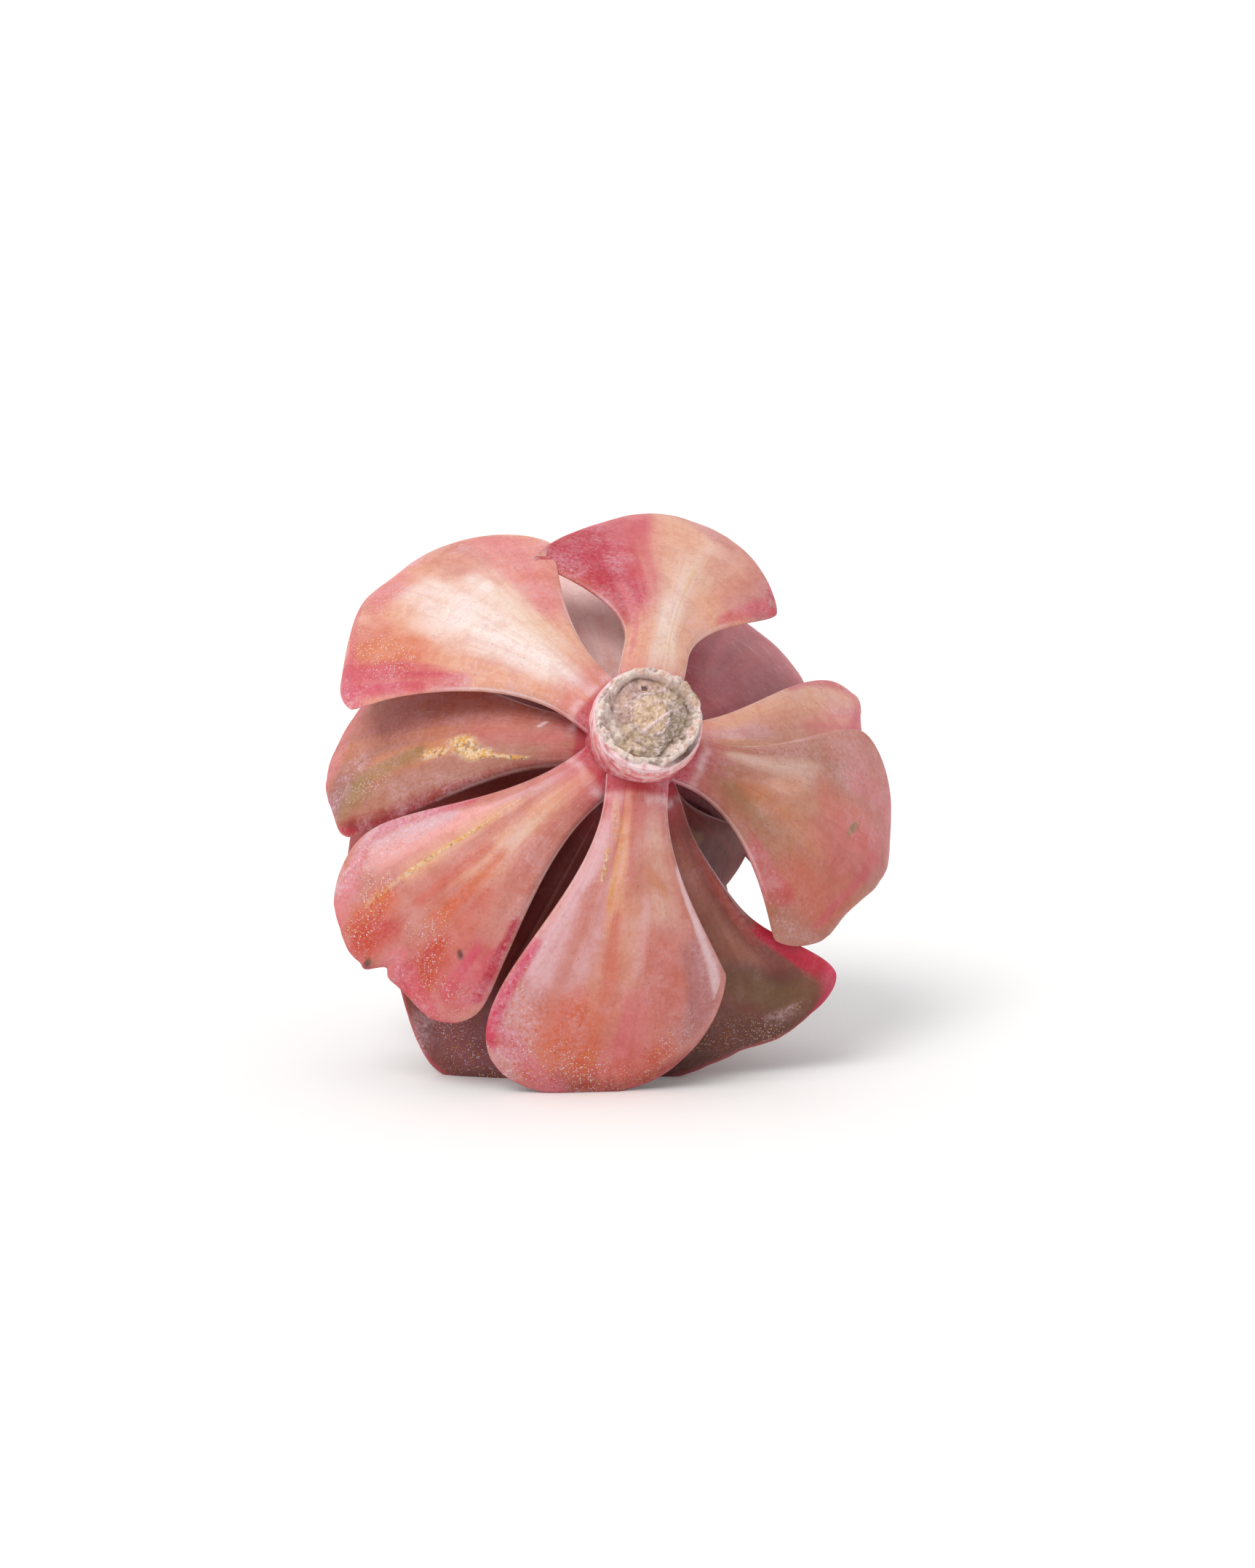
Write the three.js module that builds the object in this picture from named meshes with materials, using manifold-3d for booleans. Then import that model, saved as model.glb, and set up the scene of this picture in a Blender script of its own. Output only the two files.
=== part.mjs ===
// A succulent rosette cut from its plant, lying on the tips of its lower leaves.
//
// The short stem and each leaf are separate solids. The leaves sit on the stem in the golden-angle
// spiral of a real rosette. The rosette is built in its own frame, in which +Z points out of the cut
// end of the stem and the leaves grow towards -Z, and is then leant over and set down on its leaves.
import * as THREE from 'three';
import { mergeVertices } from 'three/addons/utils/BufferGeometryUtils.js';
import Module from 'manifold-3d';

const wasm = await Module();
wasm.setup();

// Driving dimensions, in millimetres and degrees.
const STEM_RADIUS = 8.6;
const STEM_COLLAR = 0.8; // how far the stem swells just behind the cut
const STEM_COLLAR_DEPTH = 2.5; // from the cut to the middle of the swelling
const STEM_STRAIGHT = 9; // from the cut to where the stem starts to taper
const STEM_DEPTH = 38.5; // from the cut to the growing tip
const CUT_RIM_WIDTH = 1.1;
const CUT_FACE_SUNK = 0.8; // how far the dried face lies below its raised rim
const CUT_TILT_UP = 29; // the cut end looks up by this much
const CUT_TURN = 12; // and a little to the right
const CUT_HEIGHT = 63.3; // centre of the cut above the surface
const LEAF_COUNT = 40;
const GOLDEN_ANGLE = 137.5;
const FIRST_TURN = 262;
const JOINT_GAP = 0.3; // between a leaf and the stem, and between leaves that press on each other
const ROOT_DEPTH = 2.2; // a leaf's midrib starts this far inside the stem before it is cut back

// Outer leaves, from the cut end inwards. Lengths are in millimetres and angles in degrees.
//   turn: the leaf's place round the stem, anticlockwise from the right as seen from the cut end
//   depth: where it leaves the stem, counted from the cut
//   lean: angle between its midrib and the stem at its base, middle and tip; 90 lies flat
//   neck: width at its base, which grows to the full width from flaresFrom to widest of its length
//   shoulders: how far the sides of the tip sit back, as a share of the length
//   lopsided: makes the tip's anticlockwise side longer, or its other side if negative
//   wider: share by which the anticlockwise half of the blade is wider than the other
//   flare: 1 keeps a tip that sits back as wide as the rest of the tip, 0 lets it narrow
//   corners: rounding radii of the tip's clockwise and anticlockwise corners
//   sway, twist: bend the midrib sideways, and turn the blade about it, by this much at the tip
//   lobes: uneven places of the tip's edge, each [place across, half width, how far out]
//   pushes: places moved sideways, each [place along, place across, how far anticlockwise]
const OUTER_LEAVES = [
  {
    turn: 262.3, depth: 9.5, lean: [84, 62, 42], length: 55.6, width: 40, neck: 10.6,
    shoulders: 0.12, lopsided: -0.08, wider: -0.04, flare: 0.4, corners: [4, 12],
    lobes: [[0.13, 0.05, 1.1]],
  },
  {
    turn: 131, depth: 10, lean: [80, 64, 32], length: 60.8, width: 47, neck: 10.6,
    shoulders: 0.27, flare: 0.4, corners: [9, 3],
    lobes: [[-0.5, 0.3, 1.8], [0.15, 0.2, 1.5], [0.8, 0.35, -3.2]],
    pushes: [[1.0, 1.0, 2.5]],
  },
  {
    turn: 339.7, depth: 11, lean: [80, 62, 30], length: 55.2, width: 44,
    shoulders: 0.22, lopsided: 0.07, widest: 0.8, flare: 0.5, corners: [8, 6],
    lobes: [[-0.4, 0.6, -5], [-0.5, 0.35, -1.3], [0.6, 0.35, 1.3]],
    pushes: [[1.0, 1.0, 2.0]],
  },
  {
    turn: 212.5, depth: 12, lean: [82, 64, 46], length: 57.2, width: 34,
    shoulders: 0.14, wider: 0.02, flare: 0.6, corners: [8, 4],
    lobes: [[0.3, 0.5, -4.5], [0.2, 0.06, -1.6], [0.06, 0.05, 0.8], [-0.5, 0.3, -1.8]],
    pushes: [[1.0, 1.0, 2.0]],
  },
  {
    turn: 72, depth: 13, lean: [84, 70, 38], length: 59.1, width: 43, neck: 11.4, flaresFrom: 0.26,
    shoulders: 0.31, wider: 0.1, flare: 1.0, corners: [3, 4],
    lobes: [[0.9, 0.5, -8], [-1.0, 0.25, -4]],
    pushes: [[1.0, -1.0, -1.2], [1.0, 1.0, 1.5]],
  },
  {
    turn: 287, depth: 14.5, lean: [74, 62, 47], length: 52.9, width: 41.5,
    flaresFrom: 0.15, widest: 0.95, shoulders: 0.04, twist: 15, flare: 1.0, corners: [8, 3],
    lobes: [[0.3, 0.55, -3.2], [1.0, 0.3, -5.0]],
    pushes: [[0.6, 1.0, -3.0], [1.0, 1.0, 2.5]],
  },
  {
    turn: 164, depth: 15.5, lean: [74, 60, 38], length: 51.8, width: 33,
    shoulders: 0.15, lopsided: 0.01, sway: 5.5, wider: -0.12, corners: [3, 2.5],
    lobes: [[0.6, 0.4, -0.8], [-0.6, 0.3, 0.9]],
  },
  {
    turn: 9, depth: 16.5, lean: [70, 59, 42], length: 57.6, width: 32,
    shoulders: 0.16, lopsided: 0.05, corners: [4, 1],
    lobes: [[1.0, 0.3, 8], [0.1, 0.45, -5]],
    pushes: [[1.0, 1.0, 1.5]],
  },
  {
    turn: 237, depth: 18, lean: [67, 60, 48], length: 58, width: 38,
    shoulders: 0.15, corners: [2, 6],
    lobes: [[-0.9, 0.4, -3.5], [-0.3, 0.4, 0.8]],
  },
  {
    turn: 100, depth: 19, lean: [66, 58, 36], length: 62.5, width: 40,
    shoulders: 0.16, corners: [3, 3],
  },
  {
    turn: 303, depth: 20, lean: [54, 30, 6], length: 36, width: 34,
    shoulders: 0.16, widest: 0.72,
  },
  { turn: 192, depth: 21, lean: [60, 50, 30], length: 55.6, width: 31, shoulders: 0.16 },
  {
    turn: 38, depth: 22, lean: [68, 60, 34], length: 59.6, width: 42,
    shoulders: 0.16,
    lobes: [[-0.5, 0.5, -8]],
  },
  { turn: 272, depth: 23, lean: [51, 43, 22], length: 52.4, width: 34, shoulders: 0.16 },
];
const LEAF_DEFAULTS = {
  neck: 9.2,
  flaresFrom: 0.06,
  widest: 0.86,
  shoulders: 0.2,
  lopsided: 0,
  wider: 0,
  flare: 0,
  corners: [6, 6],
  sway: 0,
  twist: 0,
  lobes: [],
  pushes: [],
  cup: 0.01, // one over the radius of the blade's cross-section, in 1/mm
  outerThickness: 3,
  innerThickness: 1.5,
  grown: 0, // added to both faces all over
};
const DEEPEST_SET_BACK = 0.48;
const PUSH_LENGTH = 0.2; // how far along the leaf a push reaches
const PUSH_WIDTH = 0.35; // and how far across it

const radians = THREE.MathUtils.degToRad;
const smoothstep = THREE.MathUtils.smoothstep;
const clamp = THREE.MathUtils.clamp;

// Falls from 1 at the centre to almost nothing two widths away.
function bell(x, centre, width) {
  return Math.exp(-(((x - centre) / width) ** 2));
}

function stemRadius(depth) {
  const towardsTip = clamp((depth - STEM_STRAIGHT) / (STEM_DEPTH - STEM_STRAIGHT), 0, 1);
  const collar = STEM_COLLAR * bell(depth, STEM_COLLAR_DEPTH, STEM_COLLAR_DEPTH);
  return STEM_RADIUS * Math.sqrt(1 - towardsTip ** 2) + collar;
}

// The inner leaves carry on the spiral. Towards the bud they grow shorter, narrower and more upright,
// and the upper ones stand more open than the lower ones, which the rosette's own weight closes.
function innerLeaf(order) {
  const inward = (order - OUTER_LEAVES.length) / (LEAF_COUNT - OUTER_LEAVES.length);
  const outward = 1 - inward;
  const turn = FIRST_TURN - GOLDEN_ANGLE * order;
  const depth = 24 + 13 * inward ** 0.9;
  const open = 1 + 0.16 * outward * Math.sin(radians(turn));
  return {
    turn,
    depth,
    lean: [
      (4 + 56 * outward ** 0.8) * open,
      (2 + 42 * outward ** 0.9) * open,
      (22 * outward - 6 * inward) * open,
    ],
    length: 9 + 42 * outward ** 0.9,
    width: 5 + 22 * outward ** 0.9,
    neck: 2.4 + 6 * outward,
    cup: 0.01 + 0.03 * inward,
    outerThickness: 1.1 + 1.6 * outward,
    innerThickness: 0.7 + 0.7 * outward,
  };
}

// Midrib of a leaf: its distance from the stem's axis, its depth and its lean at a fraction of its
// length, found by adding up short straight steps.
function midrib(leaf, fraction) {
  const steps = 60;
  const [base, middle, tip] = leaf.lean.map(radians);
  const leanAt = (t) => (1 - t) ** 2 * base + 2 * t * (1 - t) * middle + t ** 2 * tip;
  let radius = Math.max(stemRadius(leaf.depth) - ROOT_DEPTH, 0.4 * stemRadius(leaf.depth));
  let depth = leaf.depth;
  const step = (leaf.length * fraction) / steps;
  for (let i = 0; i < steps; i += 1) {
    const lean = leanAt((fraction * (i + 0.5)) / steps);
    radius += step * Math.sin(lean);
    depth += step * Math.cos(lean);
  }
  return { radius, depth, lean: leanAt(fraction) };
}

// How far the edge of the tip sits back from the leaf's full length, as a share of the length.
function tipSetBack(leaf, across) {
  const cornerRadius = leaf.corners[across > 0 ? 1 : 0];
  const fromSide = (1 - Math.abs(across)) * (leaf.width / 2);
  const intoCorner = clamp(1 - fromSide / cornerRadius, 0, 1);
  let edge = -cornerRadius * (1 - Math.sqrt(1 - intoCorner ** 2));
  for (const [place, width, out] of leaf.lobes) {
    edge += out * bell(across, place, width);
  }
  return leaf.shoulders * across ** 2 - leaf.lopsided * across - edge / leaf.length;
}

// How far each side of the blade reaches from the midrib.
function halfWidthAt(leaf, along, across) {
  const spread = smoothstep(along, leaf.flaresFrom, leaf.widest);
  const pastWidest = clamp((along - leaf.widest) / (1 - leaf.widest), 0, 1);
  const half = ((leaf.neck + (leaf.width - leaf.neck) * spread) / 2) * (1 - 0.12 * pastWidest ** 2);
  return half * (1 + leaf.wider * across * spread);
}

// A point of a leaf's skin. along runs 0 to 1 from the stem to the tip, across -1 to 1 from edge to
// edge, and face is 1 on the outer side, which looks towards the cut end, and -1 on the inner side.
function leafPoint(leaf, along, across, face) {
  const ribAt = along - Math.min(tipSetBack(leaf, across), DEEPEST_SET_BACK) * along ** 2;
  const halfWidth = halfWidthAt(leaf, ribAt + leaf.flare * (along - ribAt), across);
  const rib = midrib(leaf, ribAt);

  const tipThinning = Math.max(0.15, Math.sqrt(1 - Math.max(0, (along - 0.86) / 0.14) ** 2));
  const lens = Math.max(0.12, Math.sqrt(1 - across ** 2)) * tipThinning;
  const full = face > 0 ? leaf.outerThickness : leaf.innerThickness;
  const thinning = face > 0 ? 0.62 : 0.55;
  const offset = face * (full * lens * (1 - thinning * smoothstep(along, 0, 0.75)) + leaf.grown);

  const curvature = Math.max(1e-4, leaf.cup * smoothstep(along, 0, 0.5));
  const sideways = Math.sin(curvature * across * halfWidth) / curvature;
  const lifted = offset - (1 - Math.cos(curvature * across * halfWidth)) / curvature;

  const twist = radians(leaf.twist) * smoothstep(along, 0, 1);
  let tangential = sideways * Math.cos(twist) - lifted * Math.sin(twist) + leaf.sway * ribAt ** 2;
  for (const [placeAlong, placeAcross, push] of leaf.pushes) {
    tangential += push * bell(along, placeAlong, PUSH_LENGTH) * bell(across, placeAcross, PUSH_WIDTH);
  }
  const outward = sideways * Math.sin(twist) + lifted * Math.cos(twist);
  const radius = rib.radius + outward * Math.cos(rib.lean);
  const depth = rib.depth - outward * Math.sin(rib.lean);

  const turn = radians(leaf.turn);
  return new THREE.Vector3(
    radius * Math.cos(turn) - tangential * Math.sin(turn),
    radius * Math.sin(turn) + tangential * Math.cos(turn),
    -depth,
  );
}

// A slightly bigger copy of a leaf, which its younger neighbours are cut back to.
function withClearance(leaf) {
  return {
    ...leaf,
    width: leaf.width + 2 * JOINT_GAP,
    neck: leaf.neck + 2 * JOINT_GAP,
    length: leaf.length + JOINT_GAP,
    grown: JOINT_GAP,
  };
}

// A leaf starts as a box, 2 x 2 x 1, whose points are moved onto the leaf's skin. The sine packs them
// closer together towards the leaf's edges, which rounds the corners of its tip.
function leafGeometry(leaf, acrossSteps, alongSteps) {
  const geometry = new THREE.BoxGeometry(2, 2, 1, acrossSteps, 1, alongSteps);
  const position = geometry.getAttribute('position');
  for (let i = 0; i < position.count; i += 1) {
    const across = Math.sin((position.getX(i) * Math.PI) / 2);
    const point = leafPoint(leaf, position.getZ(i) + 0.5, across, position.getY(i));
    position.setXYZ(i, point.x, point.y, point.z);
  }
  return geometry;
}

// The stem's outline turned round its axis, from the growing tip to the middle of the cut face. grown
// makes it thicker all over.
function stemGeometry(grown, withSunkFace) {
  const profile = [new THREE.Vector2(0, -STEM_DEPTH - grown)];
  const depths = [37.6, 35, 31, 26, 20, 14, 9, 6, 4, 2.5, 1];
  for (const depth of depths) {
    profile.push(new THREE.Vector2(stemRadius(depth) + grown, -depth));
  }
  profile.push(new THREE.Vector2(STEM_RADIUS + grown, grown));
  if (withSunkFace) {
    const faceRadius = STEM_RADIUS - CUT_RIM_WIDTH;
    profile.push(new THREE.Vector2(faceRadius, 0));
    profile.push(new THREE.Vector2(faceRadius - CUT_FACE_SUNK, -CUT_FACE_SUNK));
    profile.push(new THREE.Vector2(0, -CUT_FACE_SUNK));
  } else {
    profile.push(new THREE.Vector2(0, grown));
  }
  const geometry = new THREE.LatheGeometry(profile, 24);
  geometry.rotateX(Math.PI / 2);
  return geometry;
}

function solidFrom(geometry) {
  const bare = geometry.clone();
  bare.deleteAttribute('normal');
  bare.deleteAttribute('uv');
  const welded = mergeVertices(bare, 1e-4);
  const corners = welded.index.array;
  const triangles = [];
  for (let i = 0; i < corners.length; i += 3) {
    const [a, b, c] = corners.slice(i, i + 3);
    if (a !== b && b !== c && c !== a) {
      triangles.push(a, b, c);
    }
  }
  const mesh = new wasm.Mesh({
    numProp: 3,
    vertProperties: new Float32Array(welded.getAttribute('position').array),
    triVerts: new Uint32Array(triangles),
  });
  return new wasm.Manifold(mesh);
}

function geometryFrom(solid) {
  const mesh = solid.getMesh();
  const geometry = new THREE.BufferGeometry();
  geometry.setAttribute('position', new THREE.BufferAttribute(mesh.vertProperties, 3));
  geometry.setIndex(new THREE.BufferAttribute(mesh.triVerts, 1));
  geometry.computeVertexNormals();
  return geometry;
}

const stemMaterial = new THREE.MeshStandardMaterial({ color: 0xcdb79c, roughness: 0.85, metalness: 0 });
const outerLeafMaterial = new THREE.MeshStandardMaterial({ color: 0xd98a80, roughness: 0.6, metalness: 0 });
const innerLeafMaterial = new THREE.MeshStandardMaterial({ color: 0xb87f83, roughness: 0.6, metalness: 0 });

const rosette = new THREE.Group();
rosette.rotation.set(radians(90 - CUT_TILT_UP), 0, radians(CUT_TURN), 'ZXY');
rosette.position.z = CUT_HEIGHT;
rosette.updateMatrixWorld(true);

// What the leaves are cut back to: the stem with a gap round it, and the surface they lie on.
const stemClearance = solidFrom(stemGeometry(JOINT_GAP, false));
const groundBox = new THREE.BoxGeometry(300, 300, 50).translate(0, 0, -25);
const ground = solidFrom(groundBox.applyMatrix4(rosette.matrixWorld.clone().invert()));

function addMesh(name, solid, material) {
  const mesh = new THREE.Mesh(geometryFrom(solid), material);
  mesh.name = name;
  rosette.add(mesh);
}

// A cut can leave crumbs at a leaf's base, so only the largest piece is kept.
function largestPiece(solid) {
  const pieces = solid.decompose();
  return pieces.reduce((largest, piece) => (piece.volume() > largest.volume() ? piece : largest));
}

addMesh('stem', solidFrom(stemGeometry(0, true)), stemMaterial);
const olderLeaves = [];
for (let order = 0; order < LEAF_COUNT; order += 1) {
  const isOuter = order < OUTER_LEAVES.length;
  const [acrossSteps, alongSteps] = isOuter ? [8, 11] : [4, 8];
  const leaf = { ...LEAF_DEFAULTS, ...(isOuter ? OUTER_LEAVES[order] : innerLeaf(order)) };
  let solid = solidFrom(leafGeometry(leaf, acrossSteps, alongSteps));
  solid = solid.subtract(stemClearance).subtract(ground);
  for (const older of olderLeaves) {
    solid = solid.subtract(older);
  }
  olderLeaves.push(solidFrom(leafGeometry(withClearance(leaf), acrossSteps, alongSteps)));
  const name = `leaf_${String(order + 1).padStart(2, '0')}`;
  addMesh(name, largestPiece(solid), isOuter ? outerLeafMaterial : innerLeafMaterial);
}

// The origin is on the surface, under the middle of the whole thing.
const part = new THREE.Group();
part.add(rosette);
part.updateMatrixWorld(true);
const middle = new THREE.Box3().setFromObject(part, true).getCenter(new THREE.Vector3());
rosette.position.x = -middle.x;
rosette.position.y = -middle.y;
part.updateMatrixWorld(true);

export default part;
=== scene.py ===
"""Looks of a cut succulent rosette: fleshy leaves with a waxy bloom round a dried stem cut.

Every leaf and the stem are rebuilt here as fine meshes in the place of their plain CAD solids. Lengths
in the tables are in millimetres and become metres when a mesh is made.
"""
import math

import bpy
import numpy as np
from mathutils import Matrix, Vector


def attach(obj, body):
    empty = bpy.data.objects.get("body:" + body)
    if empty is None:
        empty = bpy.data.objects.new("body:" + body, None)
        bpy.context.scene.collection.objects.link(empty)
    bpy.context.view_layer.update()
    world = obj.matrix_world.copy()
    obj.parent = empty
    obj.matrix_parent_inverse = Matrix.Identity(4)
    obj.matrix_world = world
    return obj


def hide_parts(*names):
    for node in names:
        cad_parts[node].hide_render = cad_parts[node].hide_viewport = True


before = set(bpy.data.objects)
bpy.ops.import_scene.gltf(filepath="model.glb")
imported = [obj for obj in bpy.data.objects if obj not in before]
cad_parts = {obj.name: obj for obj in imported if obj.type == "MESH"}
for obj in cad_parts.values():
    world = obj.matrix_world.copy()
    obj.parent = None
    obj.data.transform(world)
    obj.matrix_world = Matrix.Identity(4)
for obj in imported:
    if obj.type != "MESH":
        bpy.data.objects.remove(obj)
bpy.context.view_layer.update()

MM = 0.001

# The rosette's own frame, as in the CAD: +Z out of the cut end, leaves growing towards -Z. Lengths
# are in millimetres and angles in degrees.
STEM_RADIUS = 8.6
STEM_COLLAR = 0.8  # how far the collar below the cut swells
COLLAR_DEPTH = 2.5
STEM_STRAIGHT = 9  # below this depth the stem narrows
STEM_DEPTH = 38.5
CUT_TILT_UP = 29
CUT_TURN = 12
LEAF_COUNT = 40
GOLDEN_ANGLE = 137.5
FIRST_TURN = 262
ROOT_DEPTH = 2.2  # how far a leaf's stalk starts inside the stem
DEEPEST_SET_BACK = 0.48
PUSH_LENGTH = 0.2
PUSH_WIDTH = 0.35

# How fine the skins are, as rings along a piece and points round each ring.
OUTER_LEAF_GRID = (150, 200)
INNER_LEAF_GRID = (60, 72)
STEM_AROUND = 360
CUT_RINGS = 120

# Small shapes of a leaf's skin, in millimetres.
RAGGED_EDGE = 0.35
STALK_RIM = 0.22
BLADE_RIDGES = 0.28
UNEVEN_SKIN = 0.22
TIP_WAVE = 1.6

# ---------------------------------------------------------------------------------------------------
# Small helpers


def smoothstep(x, low, high):
    t = np.clip((x - low) / (high - low), 0, 1)
    return t * t * (3 - 2 * t)


def bell(x, centre, width):
    return np.exp(-(((x - centre) / width) ** 2))


def linear(red, green, blue):
    """A colour given as 0 to 255, as Blender's linear numbers."""
    values = np.array([red, green, blue]) / 255
    return np.where(values <= 0.04045, values / 12.92, ((values + 0.055) / 1.055) ** 2.4)


def pigment(red, green, blue):
    """The skin's own colour for one that should be seen as red, green, blue in this scene's light."""
    return 0.95 * linear(red, green, blue) ** 1.3


class Noise:
    """Smooth repeatable value noise in two dimensions, about -1 to 1."""

    SIZE = 64

    def __init__(self, seed):
        self.grid = np.random.default_rng(seed).uniform(-1, 1, (self.SIZE, self.SIZE))

    def layer(self, x, y):
        x0, y0 = np.floor(x).astype(int), np.floor(y).astype(int)
        fx, fy = x - x0, y - y0
        fx, fy = fx * fx * (3 - 2 * fx), fy * fy * (3 - 2 * fy)
        n = self.SIZE
        x1, y1 = (x0 + 1) % n, (y0 + 1) % n
        x0, y0 = x0 % n, y0 % n
        low = self.grid[x0, y0] * (1 - fx) + self.grid[x1, y0] * fx
        high = self.grid[x0, y1] * (1 - fx) + self.grid[x1, y1] * fx
        return low * (1 - fy) + high * fy

    def __call__(self, x, y, octaves=3):
        total, size, full = 0, 1, 0
        for octave in range(octaves):
            total = total + size * self.layer(x * 2**octave + 17 * octave, y * 2**octave + 5 * octave)
            full += size
            size *= 0.5
        return total / full


def ring_faces(rings, around):
    """Quads between rings of points, each ring closed round."""
    quads = []
    for ring in range(rings - 1):
        row, next_row = ring * around, (ring + 1) * around
        for j in range(around):
            after = (j + 1) % around
            quads.append((row + j, next_row + j, next_row + after, row + after))
    return quads


def add_to_scene(name, data):
    thing = bpy.data.objects.new(name, data)
    bpy.context.scene.collection.objects.link(thing)
    return thing


def mesh_object(name, points, faces, node):
    """A smooth mesh piece that stands for a CAD node, from points in the rosette's frame."""
    mesh = bpy.data.meshes.new(name)
    mesh.from_pydata((to_row(points) * MM).tolist(), [], [list(face) for face in faces])
    mesh.polygons.foreach_set("use_smooth", [True] * len(mesh.polygons))
    mesh.update()
    piece = add_to_scene(name, mesh)
    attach(piece, "root")
    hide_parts(node)
    return piece


def add_value(mesh, name, values):
    attribute = mesh.attributes.new(name, "FLOAT", "POINT")
    attribute.data.foreach_set("value", np.asarray(values, np.float32))


def add_colour(mesh, name, colours):
    attribute = mesh.color_attributes.new(name, "FLOAT_COLOR", "POINT")
    values = np.ones((len(colours), 4), np.float32)
    values[:, :3] = np.clip(colours, 0, 1)
    attribute.data.foreach_set("color", values.ravel())


# ---------------------------------------------------------------------------------------------------
# Where the rosette stands in the row frame


def turn_matrix():
    tilt, yaw = math.radians(90 - CUT_TILT_UP), math.radians(CUT_TURN)
    about_x = np.array([
        [1, 0, 0],
        [0, math.cos(tilt), -math.sin(tilt)],
        [0, math.sin(tilt), math.cos(tilt)],
    ])
    about_z = np.array([
        [math.cos(yaw), -math.sin(yaw), 0],
        [math.sin(yaw), math.cos(yaw), 0],
        [0, 0, 1],
    ])
    return about_z @ about_x


def stem_radius(depth):
    depth = np.asarray(depth, float)
    towards_tip = np.clip((depth - STEM_STRAIGHT) / (STEM_DEPTH - STEM_STRAIGHT), 0, 1)
    collar = STEM_COLLAR * bell(depth, COLLAR_DEPTH, COLLAR_DEPTH)
    return STEM_RADIUS * np.sqrt(1 - towards_tip**2) + collar


TURN = turn_matrix()


def place_of_cut():
    """Centre of the stem's cut in the row frame, in millimetres, found from the CAD stem."""
    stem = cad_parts["stem"]
    points = np.array([stem.matrix_world @ vertex.co for vertex in stem.data.vertices]) / MM
    along_axis = points @ TURN
    low, high = along_axis.min(0), along_axis.max(0)
    return TURN @ np.array([(low[0] + high[0]) / 2, (low[1] + high[1]) / 2, high[2]])


CUT_PLACE = place_of_cut()


def to_row(points):
    return np.asarray(points) @ TURN.T + CUT_PLACE


# ---------------------------------------------------------------------------------------------------
# Leaves: shape

# The same leaves as in the CAD, where the numbers are explained, with the small shapes that only show
# up close. waves is how far the tip's edge undulates.
OUTER_LEAVES = [
    dict(turn=262.3, depth=9.5, lean=(84, 62, 42), length=55.6, width=40, neck=10.6, shoulders=0.12,
         lopsided=-0.08, wider=-0.04, flare=0.4, corners=(4, 12), lobes=((0.13, 0.05, 1.1),)),
    dict(turn=131, depth=10, lean=(80, 64, 32), length=60.8, width=47, neck=10.6, shoulders=0.27,
         flare=0.4, corners=(9, 3), lobes=((-0.5, 0.3, 1.8), (0.15, 0.2, 1.5), (0.8, 0.35, -3.2)),
         pushes=((1.0, 1.0, 2.5),)),
    dict(turn=339.7, depth=11, lean=(80, 62, 30), length=55.2, width=44, shoulders=0.22, lopsided=0.07,
         widest=0.8, flare=0.5, corners=(8, 6),
         lobes=((-0.4, 0.6, -5), (-0.5, 0.35, -1.3), (0.6, 0.35, 1.3)), pushes=((1.0, 1.0, 2.0),)),
    dict(turn=212.5, depth=12, lean=(82, 64, 46), length=57.2, width=34, shoulders=0.14, wider=0.02,
         flare=0.6, corners=(8, 4), pushes=((1.0, 1.0, 2.0),),
         lobes=((0.3, 0.5, -4.5), (0.2, 0.06, -1.6), (0.06, 0.05, 0.8), (-0.5, 0.3, -1.8))),
    dict(turn=72, depth=13, lean=(84, 70, 38), length=59.1, width=43, neck=11.4, shoulders=0.31,
         flares_from=0.26, wider=0.1, flare=1.0, corners=(3, 4),
         lobes=((0.9, 0.5, -8), (-1.0, 0.25, -4)), pushes=((1.0, -1.0, -1.2), (1.0, 1.0, 1.5))),
    dict(turn=287, depth=14.5, lean=(74, 62, 47), length=52.9, width=41.5, flares_from=0.15,
         widest=0.95, shoulders=0.04, twist=15, flare=1.0, corners=(8, 3),
         lobes=((0.3, 0.55, -3.2), (1.0, 0.3, -5.0)), pushes=((0.6, 1.0, -3.0), (1.0, 1.0, 2.5))),
    dict(turn=164, depth=15.5, lean=(74, 60, 38), length=51.8, width=33, shoulders=0.15, lopsided=0.01,
         sway=5.5, wider=-0.12, corners=(3, 2.5), lobes=((0.6, 0.4, -0.8), (-0.6, 0.3, 0.9))),
    dict(turn=9, depth=16.5, lean=(70, 59, 42), length=57.6, width=32, shoulders=0.16, lopsided=0.05,
         corners=(4, 1), lobes=((1.0, 0.3, 8), (0.1, 0.45, -5)), pushes=((1.0, 1.0, 1.5),)),
    dict(turn=237, depth=18, lean=(67, 60, 48), length=58, width=38, shoulders=0.15, corners=(2, 6),
         lobes=((-0.9, 0.4, -3.5), (-0.3, 0.4, 0.8))),
    dict(turn=100, depth=19, lean=(66, 58, 36), length=62.5, width=40, shoulders=0.16, corners=(3, 3)),
    dict(turn=303, depth=20, lean=(54, 30, 6), length=36, width=34, shoulders=0.16, widest=0.72),
    dict(turn=192, depth=21, lean=(60, 50, 30), length=55.6, width=31, shoulders=0.16),
    dict(turn=38, depth=22, lean=(68, 60, 34), length=59.6, width=42, shoulders=0.16,
         lobes=((-0.5, 0.5, -8),)),
    dict(turn=272, depth=23, lean=(51, 43, 22), length=52.4, width=34, shoulders=0.16),
]
LEAF_DEFAULTS = dict(
    neck=9.2, widest=0.86, flares_from=0.06, shoulders=0.2, lopsided=0, sway=0, twist=0, cup=0.01,
    outer_thickness=3, inner_thickness=1.5, wider=0, flare=0.0, waves=0.5, corners=(6, 6), lobes=(),
    pushes=(),
)


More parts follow.
